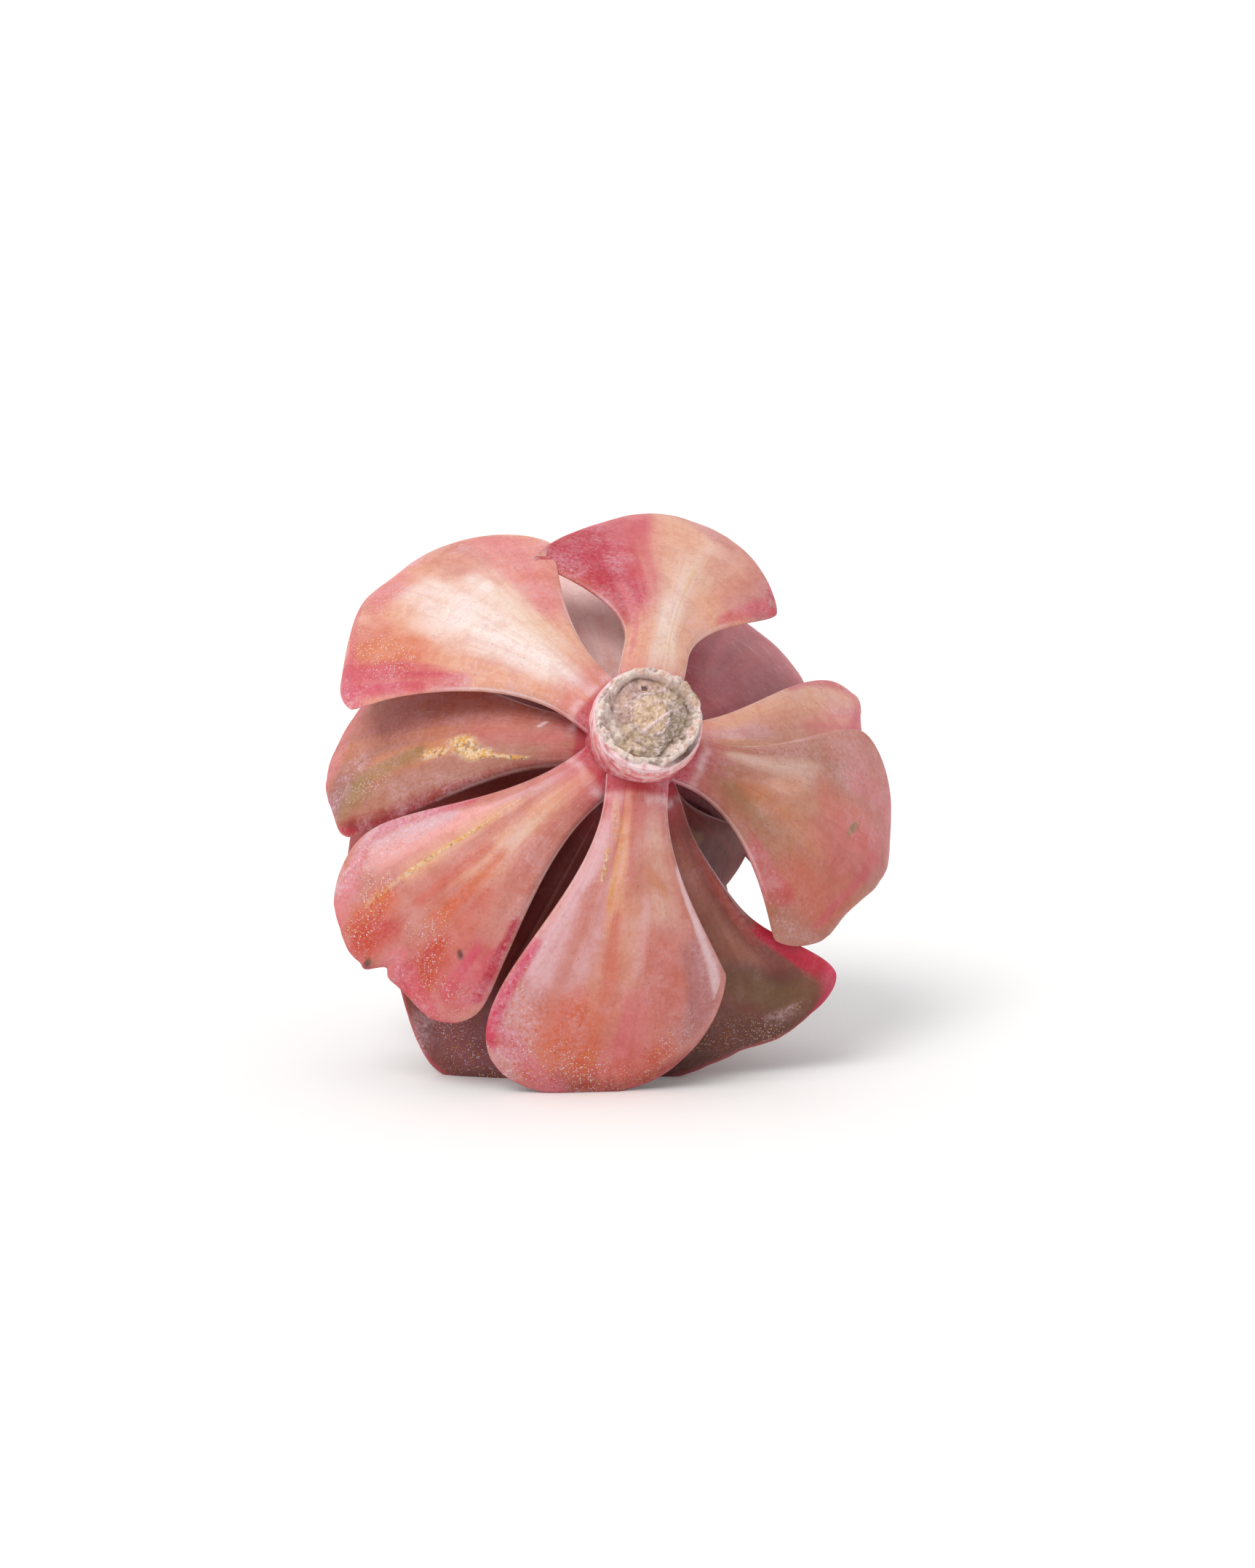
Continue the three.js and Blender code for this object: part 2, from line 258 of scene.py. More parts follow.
def inner_leaf(order):
    """A hidden leaf, smaller and more upright the nearer it is to the bud."""
    inward = (order - len(OUTER_LEAVES)) / (LEAF_COUNT - len(OUTER_LEAVES))
    outward = 1 - inward
    turn = FIRST_TURN - GOLDEN_ANGLE * order
    opened = 1 + 0.16 * outward * math.sin(math.radians(turn))
    return dict(
        turn=turn,
        depth=24 + 13 * inward**0.9,
        lean=(
            (4 + 56 * outward**0.8) * opened,
            (2 + 42 * outward**0.9) * opened,
            (22 * outward - 6 * inward) * opened,
        ),
        length=9 + 42 * outward**0.9,
        width=5 + 22 * outward**0.9,
        neck=2.4 + 6 * outward,
        cup=0.01 + 0.03 * inward,
        outer_thickness=1.1 + 1.6 * outward,
        inner_thickness=0.7 + 0.7 * outward,
        waves=0.1 + 0.3 * outward,
    )


def corner_rounding(leaf, across):
    """How far the tip's edge steps back, in millimetres, where it turns into the leaf's sides."""
    radius = np.where(across > 0, leaf["corners"][1], leaf["corners"][0])
    half_width = leaf["width"] / 2
    into_corner = np.clip((np.abs(across) * half_width - half_width + radius) / radius, 0, 1)
    return radius * (1 - np.sqrt(1 - into_corner**2))


def leaf_points(leaf, along, across, face, noise):
    """Points of a leaf's skin in the rosette's frame. along is 0 to 1 from stem to tip, across -1 to 1
    from edge to edge, and face 1 on the outer side down to -1 on the inner side, 0 on the edge."""
    ragged = RAGGED_EDGE * noise(across * 5 + 3, np.full_like(across, 1.5))
    for place, width, out in leaf["lobes"]:
        ragged = ragged + out * bell(across, place, width)
    set_back = leaf["shoulders"] * across**2 - leaf["lopsided"] * across
    set_back = set_back + (corner_rounding(leaf, across) - ragged) / leaf["length"]
    at = along - np.minimum(set_back, DEEPEST_SET_BACK) * along**2

    width_at = at + leaf["flare"] * (along - at)
    spread = smoothstep(width_at, leaf["flares_from"], leaf["widest"])
    past_widest = np.clip((width_at - leaf["widest"]) / (1 - leaf["widest"]), 0, 1)
    half_width = (leaf["neck"] + (leaf["width"] - leaf["neck"]) * spread) / 2
    half_width = half_width * (1 - 0.12 * past_widest**2) * (1 + leaf["wider"] * across * spread)

    # the midrib, added up along its length
    fraction = np.linspace(0, 1.12, 400)
    base, middle, tip = np.radians(leaf["lean"])
    lean = (1 - fraction) ** 2 * base + 2 * fraction * (1 - fraction) * middle + fraction**2 * tip
    step = leaf["length"] * (fraction[1] - fraction[0])
    stem = float(stem_radius(leaf["depth"]))
    start = max(stem - ROOT_DEPTH, 0.4 * stem)
    mean_lean = lean[1:] / 2 + lean[:-1] / 2
    rib_radius = start + np.concatenate([[0], np.cumsum(np.sin(mean_lean))]) * step
    rib_depth = leaf["depth"] + np.concatenate([[0], np.cumsum(np.cos(mean_lean))]) * step
    radius_here = np.interp(at, fraction, rib_radius)
    depth_here = np.interp(at, fraction, rib_depth)
    lean_here = np.interp(at, fraction, lean)

    # fleshy cross-section with a rounded margin
    end = np.sqrt(np.clip(1 - np.clip((along - 0.9) / 0.1, 0, 1) ** 2, 0, 1))
    outer = leaf["outer_thickness"] * (1 - 0.62 * smoothstep(along, 0, 0.75))
    inner = leaf["inner_thickness"] * (1 - 0.55 * smoothstep(along, 0, 0.75))
    offset = np.where(face > 0, outer, inner) * np.sign(face) * np.abs(face) ** 0.8 * end

    # small shapes: a rim along the stalk's edges, soft ridges along the blade, an uneven skin
    stalk = 1 - smoothstep(along, 0.35, 0.7)
    width_mm = across * half_width
    outer_side = np.clip(face, 0, 1)
    offset = offset + STALK_RIM * stalk * bell(np.abs(across), 0.9, 0.06) * outer_side
    ridges = noise(across * 3.2 + 9, along * 0.9, 2) * smoothstep(along, 0.05, 0.4)
    skin = noise(width_mm * 0.16 + 30, along * leaf["length"] * 0.1, 3)
    offset = offset + (BLADE_RIDGES * ridges + UNEVEN_SKIN * skin) * outer_side * end
    near_tip = smoothstep(along, 0.6, 1) * (0.4 + np.abs(across))
    undulation = noise(across * 2.3 + 40, along * 1.5, 1) * near_tip * leaf["waves"] * TIP_WAVE

    curvature = np.maximum(1e-4, leaf["cup"] * smoothstep(along, 0, 0.5))
    sideways = np.sin(curvature * width_mm) / curvature
    lifted = offset + undulation - (1 - np.cos(curvature * width_mm)) / curvature

    twist = np.radians(leaf["twist"]) * smoothstep(along, 0, 1)
    tangential = sideways * np.cos(twist) - lifted * np.sin(twist) + leaf["sway"] * at**2
    for push_along, push_across, push in leaf["pushes"]:
        near = bell(along, push_along, PUSH_LENGTH) * bell(across, push_across, PUSH_WIDTH)
        tangential = tangential + push * near
    outward = sideways * np.sin(twist) + lifted * np.cos(twist)
    radius = radius_here + outward * np.cos(lean_here)
    depth = depth_here - outward * np.sin(lean_here)

    turn = math.radians(leaf["turn"])
    return np.stack([
        radius * math.cos(turn) - tangential * math.sin(turn),
        radius * math.sin(turn) + tangential * math.cos(turn),
        -depth,
    ], -1)


def leaf_grid(rings, around):
    """Rings along the leaf, each running round its cross-section. Returns along, across and face for
    each point, and the faces, closed at both ends."""
    even = np.linspace(0, 1, rings)
    along = 0.6 * even + 0.4 * np.sin(even * math.pi / 2)
    angle = np.arange(around) * 2 * math.pi / around
    across = np.cos(angle)
    face = np.sin(angle)
    # the rings turn the other way from the stem's, so their quads are turned over to face outwards
    faces = [quad[::-1] for quad in ring_faces(rings, around)]
    for row, is_base in ((0, True), ((rings - 1) * around, False)):
        for j in range(around // 2):
            opposite, before_opposite = (around - j) % around, around - j - 1
            corners = (row + j, row + j + 1, row + before_opposite, row + opposite)
            corners = tuple(dict.fromkeys(corners))
            faces.append(corners[::-1] if is_base else corners)
    grid_along, grid_across = np.meshgrid(along, across, indexing="ij")
    grid_face = np.broadcast_to(face, grid_along.shape)
    return grid_along.ravel(), grid_across.ravel(), grid_face.ravel(), faces


# ---------------------------------------------------------------------------------------------------
# Leaves: colour

COLOURS = dict(
    rim=pigment(246, 230, 234),
    ivory=pigment(243, 230, 224),
    cream=pigment(236, 214, 198),
    pale=pigment(228, 190, 194),
    lilac=pigment(222, 192, 202),
    peach=pigment(230, 182, 158),
    salmon=pigment(212, 150, 138),
    clay=pigment(192, 140, 120),
    tan=pigment(212, 150, 112),
    pink=pigment(224, 140, 144),
    rose=pigment(214, 108, 122),
    magenta=pigment(212, 78, 112),
    crimson=pigment(196, 50, 80),
    coral=pigment(213, 118, 100),
    orange=pigment(218, 116, 66),
    flame=pigment(206, 76, 54),
    brick=pigment(178, 90, 76),
    # painted shade: a deep red laid on the leaves and leaf edges that lie in shadow low in the rosette
    # and in its gaps
    maroon_shade=pigment(130, 36, 26),
    gold=pigment(228, 178, 98),
    olive=pigment(172, 144, 100),
    umber=pigment(108, 74, 60),
    blush=pigment(240, 186, 182),
    mauve=pigment(168, 112, 118),
    dusk=pigment(150, 94, 84),
    dry=pigment(194, 170, 154),
    grey=pigment(168, 156, 144),
    straw=pigment(234, 212, 186),
    bark=pigment(122, 86, 66),
    moss=pigment(160, 142, 62),
)

# How each leaf is coloured, from its stalk to its tip. A mark is a soft stroke between two places given
# as (along, across), with its half width as a share of the leaf's length, a colour and a strength. The
# marks named in MASKS are not colours: waxy bloom, pale specks, and dry glittering crust. haze thins
# the bloom that lies over the whole leaf.
MASKS = ("bloom", "specks", "crust")
LOOKS = [
    # leaf_01
    dict(base="salmon", marks=[
        ((0.1, 0.5), (0.36, 0.5), 0.13, "cream", 0.35),
        ((0.08, -0.7), (0.3, -0.7), 0.06, "pale", 0.8),
        ((0.2, -0.85), (0.62, -0.8), 0.06, "pale", 0.9),
        ((0.36, -0.35), (0.62, -0.5), 0.05, "pale", 0.5),
        ((0.4, 0.25), (0.58, 0.15), 0.03, "pale", 0.7),
        ((0.06, -0.3), (0.45, -0.2), 0.05, "peach", 0.9),
        ((0.1, -0.42), (0.4, -0.3), 0.014, "gold", 0.5),
        ((0.45, 0.0), (0.68, -0.05), 0.1, "peach", 0.55),
        ((0.45, -0.15), (0.72, -0.1), 0.035, "coral", 0.55),
        ((0.3, 0.3), (0.35, 0.6), 0.03, "tan", 0.5),
        ((0.55, 0.4), (0.85, 0.35), 0.1, "coral", 0.4),
        ((0.78, -0.45), (0.86, -0.35), 0.12, "orange", 0.75),
        ((0.7, 0.15), (1.0, 0.05), 0.06, "pink", 0.7),
        ((0.6, 0.8), (0.85, 0.75), 0.07, "mauve", 0.5),
        ((0.95, -0.2), (0.9, 0.4), 0.06, "coral", 0.7),
        ((1.0, -0.4), (1.0, 0.6), 0.06, "brick", 0.85),
        ((0.55, -0.95), (0.92, -0.95), 0.02, "magenta", 0.9),
        ((0.85, -0.85), (0.98, -0.5), 0.04, "rose", 0.7),
        ((0.3, 0.97), (0.85, 0.93), 0.015, "rim", 0.6),
        ((0.7, -0.8), (0.95, -0.75), 0.07, "bloom", 0.9),
        ((0.35, -0.8), (0.7, -0.8), 0.05, "bloom", 0.5),
        ((0.9, -0.6), (0.93, -0.1), 0.09, "specks", 1.0),
        ((0.85, 0.6), (0.95, 0.2), 0.07, "specks", 0.7),
        ((0.24, -0.6), (0.32, -0.52), 0.012, "crust", 0.8),
        ((0.1, -0.7), (0.18, -0.5), 0.03, "crust", 0.35),
    ]),
    # leaf_02
    dict(base="peach", marks=[
        ((0.25, 0.1), (0.55, -0.1), 0.17, "ivory", 0.95),
        ((0.3, -0.5), (0.5, -0.45), 0.08, "cream", 0.7),
        ((0.6, 0.1), (0.75, 0.0), 0.08, "ivory", 0.7),
        ((0.45, -0.85), (0.85, -0.75), 0.1, "pink", 0.7),
        ((0.75, -0.4), (0.95, -0.5), 0.08, "salmon", 0.6),
        ((0.9, 0.1), (0.98, -0.1), 0.08, "pink", 0.75),
        ((0.68, 0.65), (0.86, 0.65), 0.1, "orange", 0.5),
        ((0.8, 0.4), (0.9, 0.5), 0.05, "coral", 0.4),
        ((0.5, 0.92), (0.97, 0.9), 0.06, "rose", 1.0),
        ((0.6, 0.98), (0.97, 0.97), 0.025, "magenta", 0.6),
        ((0.3, 0.7), (0.5, 0.7), 0.05, "peach", 0.6),
        ((1.0, 0.2), (0.92, 0.85), 0.03, "rose", 0.7),
        ((0.88, -0.5), (0.97, -0.3), 0.05, "bloom", 1.0),
        ((0.6, -0.1), (0.85, 0.1), 0.07, "bloom", 0.6),
        ((0.72, 0.7), (0.9, 0.6), 0.08, "specks", 0.9),
        ((0.85, 0.1), (0.97, 0.4), 0.05, "specks", 0.7),
    ]),
    # leaf_03
    dict(base="clay", marks=[
        ((0.15, -0.5), (0.4, -0.3), 0.1, "olive", 0.35),
        ((0.5, -0.6), (0.75, -0.5), 0.11, "tan", 0.3),
        ((0.6, -0.6), (0.85, -0.5), 0.11, "coral", 0.5),
        ((0.4, 0.0), (0.72, 0.2), 0.14, "peach", 0.35),
        ((0.4, -0.9), (0.6, -0.85), 0.06, "rose", 0.55),
        ((0.2, 0.5), (0.45, 0.5), 0.07, "cream", 0.5),
        ((0.35, 0.2), (0.42, 0.35), 0.04, "peach", 0.5),
        ((0.3, -0.15), (0.6, -0.2), 0.08, "tan", 0.55),
        ((0.72, -0.1), (0.95, 0.25), 0.12, "rose", 0.35),
        ((0.55, 0.35), (0.75, 0.2), 0.07, "coral", 0.5),
        ((0.6, 0.0), (0.8, 0.1), 0.09, "pink", 0.4),
        ((0.75, 0.6), (0.98, 0.55), 0.1, "pink", 0.6),
        ((0.85, -0.7), (0.86, 0.1), 0.03, "rose", 0.55),
        ((0.6, 0.85), (0.9, 0.8), 0.05, "salmon", 0.6),
        ((1.0, 0.3), (0.95, 0.9), 0.03, "rose", 0.7),
        ((0.7, 0.17), (0.7, 0.19), 0.011, "umber", 1.0),
        ((0.69, 0.13), (0.71, 0.22), 0.016, "olive", 0.7),
        ((0.7, 0.3), (0.95, 0.6), 0.08, "bloom", 0.5),
        ((0.5, -0.9), (0.8, -0.8), 0.05, "bloom", 0.4),
    ]),
    # leaf_04
    dict(base="salmon", marks=[
        ((0.12, 0.0), (0.45, 0.1), 0.12, "peach", 0.95),
        ((0.3, 0.1), (0.5, 0.15), 0.06, "cream", 0.5),
        ((0.15, -0.6), (0.4, -0.6), 0.06, "pale", 0.6),
        ((0.4, -0.65), (0.75, -0.8), 0.08, "blush", 0.8),
        ((0.5, -0.85), (0.85, -0.9), 0.05, "lilac", 0.7),
        ((0.3, -0.5), (0.66, -0.43), 0.045, "peach", 0.95),
        ((0.36, -0.48), (0.64, -0.43), 0.014, "gold", 0.5),
        ((0.45, 0.15), (0.7, 0.2), 0.05, "orange", 0.7),
        ((0.45, -0.1), (0.68, -0.1), 0.035, "coral", 0.6),
        ((0.55, 0.45), (0.7, 0.5), 0.05, "coral", 0.55),
        ((0.8, -0.35), (0.9, -0.3), 0.06, "orange", 0.75),
        ((0.85, -0.1), (0.92, -0.15), 0.07, "flame", 0.8),
        ((0.8, 0.45), (0.93, 0.4), 0.08, "flame", 0.8),
        ((0.68, 0.8), (0.85, 0.8), 0.07, "rose", 0.9),
        ((0.85, -0.8), (0.98, -0.5), 0.05, "pink", 0.8),
        ((0.9, 0.15), (0.98, 0.2), 0.03, "pink", 0.8),
        ((0.95, 0.3), (0.98, 0.8), 0.05, "rose", 0.8),
        ((0.4, 0.75), (0.6, 0.8), 0.05, "salmon", 0.8),
        ((0.55, 0.95), (0.85, 0.97), 0.02, "crimson", 0.9),
        ((0.4, -0.97), (0.8, -0.95), 0.02, "magenta", 0.7),
        ((0.73, 0.6), (0.735, 0.63), 0.012, "umber", 0.9),
        ((0.96, 0.03), (1.0, 0.06), 0.014, "umber", 0.9),
        ((0.6, -0.85), (0.95, -0.8), 0.07, "bloom", 1.0),
        ((0.95, 0.2), (1.0, 0.7), 0.04, "bloom", 0.8),
        ((0.8, -0.5), (0.93, -0.2), 0.07, "specks", 1.0),
        ((0.75, 0.2), (0.9, 0.75), 0.08, "specks", 0.8),
        ((0.6, -0.85), (0.85, -0.8), 0.06, "specks", 0.6),
        ((0.4, -0.46), (0.68, -0.42), 0.011, "crust", 0.95),
        ((0.2, -0.6), (0.4, -0.47), 0.008, "crust", 0.35),
        ((0.7, -0.42), (0.85, -0.4), 0.012, "crust", 0.4),
    ]),
    # leaf_05
    dict(base="peach", marks=[
        ((0.22, -0.2), (0.55, -0.05), 0.16, "cream", 0.95),
        ((0.3, -0.1), (0.5, 0.0), 0.1, "ivory", 0.5),
        ((0.6, -0.4), (0.85, -0.5), 0.1, "cream", 0.4),
        ((0.1, 0.0), (0.25, 0.0), 0.08, "cream", 0.8),
        ((0.92, -0.4), (1.0, 0.2), 0.05, "pale", 0.5),
        ((0.7, -0.97), (1.0, -0.85), 0.08, "mauve", 0.95),
        ((0.8, -0.97), (0.95, -0.9), 0.05, "crimson", 0.4),
        ((0.2, -0.28), (0.6, -0.26), 0.012, "gold", 0.35),
        ((0.3, -0.5), (0.7, -0.4), 0.06, "tan", 0.35),
        ((0.5, 0.1), (0.85, 0.1), 0.1, "peach", 0.7),
        ((0.6, -0.75), (0.95, -0.6), 0.09, "salmon", 0.7),
        ((0.5, 0.6), (0.9, 0.6), 0.13, "rose", 0.95),
        ((0.5, 0.75), (0.85, 0.7), 0.1, "crimson", 0.55),
        ((0.4, 0.97), (0.8, 0.9), 0.09, "crimson", 0.7),
        ((0.7, 0.9), (0.95, 0.9), 0.06, "crimson", 0.6),
        ((0.2, 0.8), (0.5, 0.7), 0.03, "pink", 0.6),
        ((0.9, -0.5), (1.0, 0.2), 0.06, "salmon", 0.8),
        ((1.0, -0.9), (1.0, 0.6), 0.025, "rose", 0.7),
        ((0.5, -0.95), (0.95, -0.95), 0.03, "rose", 0.6),
        ((0.9, 0.4), (0.97, 0.8), 0.04, "pink", 0.7),
        ((0.6, 0.6), (0.9, 0.7), 0.06, "bloom", 0.6),
        ((0.92, -0.3), (0.97, 0.3), 0.04, "specks", 0.4),
    ]),
    # leaf_06
    dict(base="dusk", haze=0.35, marks=[
        ((0.05, 0.0), (0.3, 0.2), 0.16, "brick", 0.6),
        ((0.35, 0.2), (0.65, 0.3), 0.12, "clay", 0.5),
        ((0.25, 0.85), (0.6, 0.85), 0.05, "brick", 0.7),
        ((0.3, -0.6), (0.8, -0.8), 0.1, "brick", 0.6),
        ((0.7, 0.3), (0.8, 0.6), 0.07, "umber", 0.7),
        ((0.86, -0.3), (0.95, 0.5), 0.07, "umber", 0.65),
        ((0.8, 0.1), (0.9, 0.3), 0.04, "bark", 0.5),
        ((0.95, -0.6), (1.0, 0.2), 0.05, "umber", 0.8),
        ((0.62, 1.0), (0.97, 0.93), 0.032, "crimson", 1.0),
        ((0.9, 0.97), (1.0, 0.75), 0.03, "magenta", 1.0),
        ((0.74, 0.35), (0.88, 0.7), 0.08, "bark", 0.6),
        ((0.72, 0.3), (0.86, 0.72), 0.06, "olive", 0.2),
        ((0.85, -0.2), (0.95, 0.4), 0.07, "specks", 0.6),
        ((0.9, 0.5), (0.9, 0.7), 0.03, "bloom", 0.8),
    ]),
    # leaf_07
    dict(base="clay", marks=[
        ((0.1, -0.6), (0.5, -0.9), 0.12, "coral", 0.7),
        ((0.15, 0.1), (0.35, 0.0), 0.08, "pink", 0.35),
        ((0.35, -0.3), (0.8, -0.4), 0.12, "coral", 0.55),
        ((0.2, -0.4), (0.7, -0.5), 0.14, "salmon", 0.6),
        ((0.45, 0.12), (0.75, 0.2), 0.05, "tan", 0.8),
        ((0.6, 0.15), (0.9, 0.35), 0.03, "olive", 0.7),
        ((0.5, -0.15), (0.95, -0.1), 0.04, "tan", 0.6),
        # the lower edge is painted darker red: partly its crimson margin, partly painted shade in deep
        # red
        ((0.55, 0.85), (0.95, 0.9), 0.06, "brick", 0.95),
        ((0.6, 0.97), (0.97, 0.97), 0.035, "crimson", 0.8),
        ((0.45, 0.97), (0.9, 0.97), 0.05, "maroon_shade", 0.5),
        ((0.2, 0.9), (0.55, 0.85), 0.04, "brick", 0.7),
        ((0.85, 0.4), (1.0, 0.7), 0.06, "olive", 0.6),
        ((0.9, 0.3), (1.0, 0.6), 0.05, "mauve", 0.6),
        ((0.95, -0.8), (1.0, 0.2), 0.05, "pink", 0.6),
        ((0.17, -0.45), (0.19, -0.25), 0.008, "rim", 0.8),
        ((0.44, 0.15), (0.4, 0.3), 0.05, "straw", 0.5),
        ((0.44, 0.12), (0.39, 0.35), 0.042, "crust", 1.0),
        ((0.39, 0.35), (0.22, 0.72), 0.018, "crust", 0.9),
        ((0.51, 0.2), (0.57, 0.2), 0.022, "crust", 0.8),
        ((0.75, 0.3), (0.9, 0.5), 0.05, "specks", 0.7),
        ((0.85, 0.1), (1.0, 0.6), 0.06, "bloom", 0.8),
    ]),
    # leaf_08
    dict(base="peach", marks=[
        ((0.1, 0.2), (0.35, 0.3), 0.1, "pale", 0.6),
        ((0.35, 0.3), (0.6, 0.4), 0.1, "salmon", 0.5),
        ((0.7, 0.3), (0.9, 0.5), 0.1, "pink", 0.6),
        ((0.9, 0.2), (1.0, 0.8), 0.06, "rose", 0.9),
        ((0.6, 0.95), (0.95, 0.95), 0.03, "rose", 0.7),
        ((0.8, 0.7), (1.0, 0.7), 0.05, "bloom", 0.8),
    ]),
    # leaf_09, low and in shadow: the deep red over its stalk and middle is painted shade
    dict(base="brick", haze=0.1, marks=[
        ((0.05, 0.0), (0.55, 0.0), 0.35, "maroon_shade", 0.8),
        ((0.1, 0.02), (0.75, 0.02), 0.008, "salmon", 0.5),
        ((0.8, -0.3), (0.95, 0.3), 0.16, "mauve", 0.8),
        ((0.95, -0.6), (1.0, 0.4), 0.06, "umber", 0.5),
        ((0.8, -0.5), (0.95, 0.4), 0.1, "specks", 0.8),
        ((0.85, -0.6), (1.0, -0.4), 0.06, "bloom", 0.7),
    ]),
    # leaf_10
    dict(base="ivory", marks=[
        ((0.3, -0.2), (0.8, 0.0), 0.3, "blush", 0.4),
        ((0.3, 0.0), (0.8, 0.0), 0.2, "bloom", 0.3),
    ]),
    # leaf_11, mostly hidden and in shadow: the deep red over most of it is painted shade, the small
    # olive patch is its own colour
    dict(base="brick", haze=0.1, marks=[
        ((0.05, 0.2), (0.7, 0.2), 0.35, "maroon_shade", 0.7),
        ((0.3, 0.4), (0.36, 0.5), 0.04, "olive", 0.5),
    ]),
    # leaf_12: the deep red stroke over its middle is partly painted shade
    dict(base="brick", haze=0.3, marks=[
        ((0.2, -0.3), (0.8, -0.4), 0.3, "maroon_shade", 0.35),
        ((0.5, -0.4), (0.8, -0.2), 0.1, "coral", 0.4),
        ((0.85, -0.5), (1.0, 0.0), 0.08, "rose", 0.5),
    ]),
    # leaf_13
    dict(base="mauve", haze=0.7, marks=[
        ((0.2, 0.1), (0.9, 0.1), 0.4, "rose", 0.35),
        ((0.3, 0.3), (0.8, 0.3), 0.2, "pink", 0.4),
        ((0.3, -0.9), (0.8, -0.8), 0.1, "dusk", 0.5),
        ((0.3, 0.8), (0.7, 0.8), 0.06, "rose", 0.4),
        ((0.85, -0.4), (1.0, 0.2), 0.06, "pink", 0.5),
        ((0.4, 0.1), (0.95, 0.1), 0.2, "bloom", 0.3),
    ]),
    # leaf_14, hidden behind the others: the deep red over nearly all of it is painted shade for the gap
    # where it shows
    dict(base="brick", haze=0.1, marks=[
        ((0.1, 0.0), (0.8, 0.0), 0.4, "maroon_shade", 0.9),
    ]),
]
INNER_LOOK = dict(base="mauve", marks=[
    ((0.3, 0.0), (0.8, 0.0), 0.2, "salmon", 0.4),
    ((0.6, 0.0), (0.95, 0.0), 0.2, "bloom", 0.5),
])


HALF_WIDTH_SHARE = 0.38  # half a leaf's width as a share of its length
FINE_STROKE = 0.05  # a narrower stroke than this wanders less


def plain(name, count):
    return np.tile(COLOURS[name], (count, 1))


def mix(colours, name, amount):
    amount = np.clip(amount, 0, 1)[:, None]
    return colours * (1 - amount) + COLOURS[name] * amount


def layered(colours, *layers):
    """Colours with layers over them, each given as a colour's name and its amount at each point."""
    for name, amount in layers:
        colours = mix(colours, name, amount)
    return colours


def stroke(start, end, width, along, across):
    """How much each point lies under a soft stroke, 0 to 1."""
    toward = np.array([end[0] - start[0], (end[1] - start[1]) * HALF_WIDTH_SHARE])
    from_start = np.stack([along - start[0], (across - start[1]) * HALF_WIDTH_SHARE])
    share = np.clip((toward[:, None] * from_start).sum(0) / max(toward @ toward, 1e-9), 0, 1)
    distance = np.hypot(*(from_start - toward[:, None] * share))
    return 1 - smoothstep(distance, 0.35 * width, 1.5 * width)


def paint_leaf(look, along, across, face, noise):
    """Colour of each point, and how much of each mask it carries."""
    edge = np.abs(across)
    wander = noise(across * 3 + 5, along * 3 + 4, 4)
    drift = noise(across * 3 + 25, along * 3 + 14, 4)
    streaks = noise(across * 11 + 11, along * 1.6 + 3, 3)
    moved_along = along + 0.05 * wander
    moved_across = across + 0.13 * drift + 0.05 * streaks
    colours = plain(look["base"], len(along))
    masks = {name: np.zeros(len(along)) for name in MASKS}
    for start, end, width, name, strength in look["marks"]:
        fine = min(1, width / FINE_STROKE)
        at_along = along + (moved_along - along) * fine
        at_across = across + (moved_across - across) * fine
        cover = stroke(start, end, width, at_along, at_across) * strength
        cover = np.clip(cover * (1 + 0.5 * streaks * fine), 0, 1)
        if name in MASKS:
            masks[name] = np.maximum(masks[name], cover)
        else:
            colours = mix(colours, name, cover)
    # the foot of the stalk is dark red in the crease, then has a pale line and a pink blush
    blush = 1 - smoothstep(along + 0.05 * wander, 0.08, 0.21)
    pale_line = bell(along + 0.02 * drift, 0.077, 0.013) * np.clip(0.5 + 1.2 * wander, 0, 1)
    # a thin pale rim along the stalk's edges, pink round the tip
    rim = bell(edge, 0.985, 0.012) * (1 - smoothstep(along, 0.3, 0.65)) * smoothstep(face, -0.1, 0.1)
    colours = layered(
        colours,
        ("rose", 0.45 * blush * (1 + 0.8 * wander)),
        ("rim", 0.5 * pale_line),
        ("crimson", 0.8 * (1 - smoothstep(along, 0.05, 0.07))),
        ("rim", 0.7 * rim * np.clip(0.8 + wander, 0, 1)),
        ("rose", 0.6 * smoothstep(along, 0.97, 1.0)),
        ("mauve", 0.5 * smoothstep(-face, 0.0, 0.3)),
    )
    haze = look.get("haze", 1.0) * (0.25 + 0.5 * wander + 0.3 * smoothstep(edge, 0.7, 0.95))
    masks["bloom"] = np.clip(np.maximum(masks["bloom"], haze), 0, 1)
    return colours, masks


# ---------------------------------------------------------------------------------------------------
# Materials


